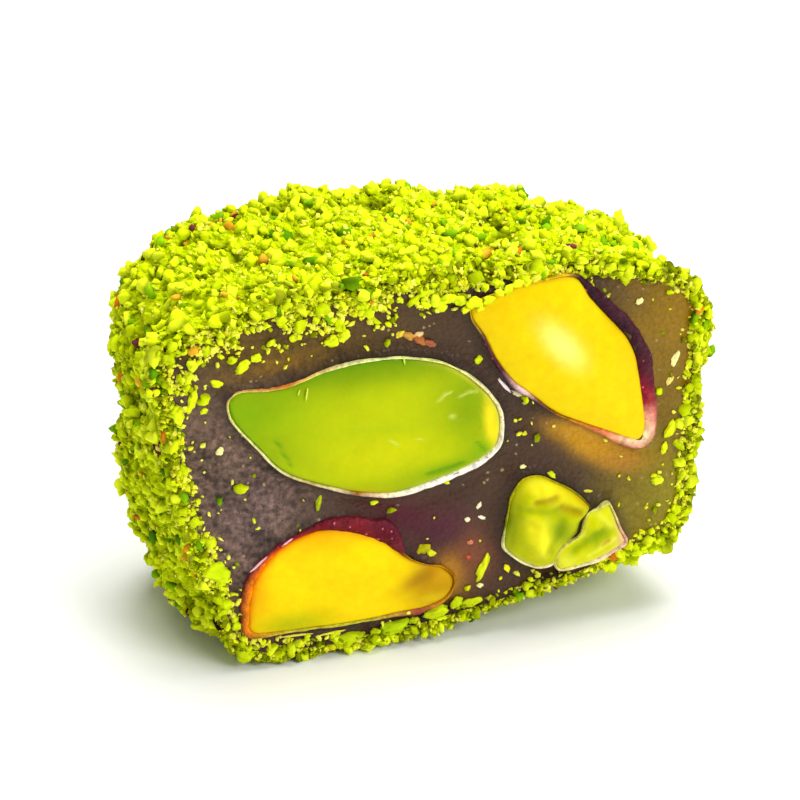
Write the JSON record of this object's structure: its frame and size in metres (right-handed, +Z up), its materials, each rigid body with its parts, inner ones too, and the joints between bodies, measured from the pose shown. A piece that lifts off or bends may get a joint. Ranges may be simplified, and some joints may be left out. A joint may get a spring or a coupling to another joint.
{
  "type": "turkish delight",
  "caption": "Half block of pistachio Turkish delight, cut open: jelly with whole kernels set in it, coated in ground pistachio on every side but the cut.",
  "frame": {"origin": "on the table plane, under the middle of the box round the whole piece", "axes": "+Z up from the surface it stands on; -Y is the way the cut face looks; +X runs along the cut face to the right as seen from the front"},
  "size_m": [0.0334, 0.0168, 0.0246],
  "materials": {
    "jelly": "translucent brown starch jelly, glossy where the knife smoothed it and dull where it dragged",
    "crumb_coat": "coarse ground pistachio, bright yellow-green with darker green and reddish specks",
    "kernel_green": "cut green pistachio kernel, satin, with a pale rim",
    "kernel_yellow": "cut yellow pistachio kernel, waxy, with a purple-red skin at its edge"
  },
  "bodies": {
    "root": {"jelly": "jelly", "crumb_coat": "crumb_coat", "kernel_centre": "kernel_green", "kernel_corner": "kernel_green", "kernel_upper": "kernel_yellow", "kernel_lower": "kernel_yellow"}
  },
  "joints": []
}
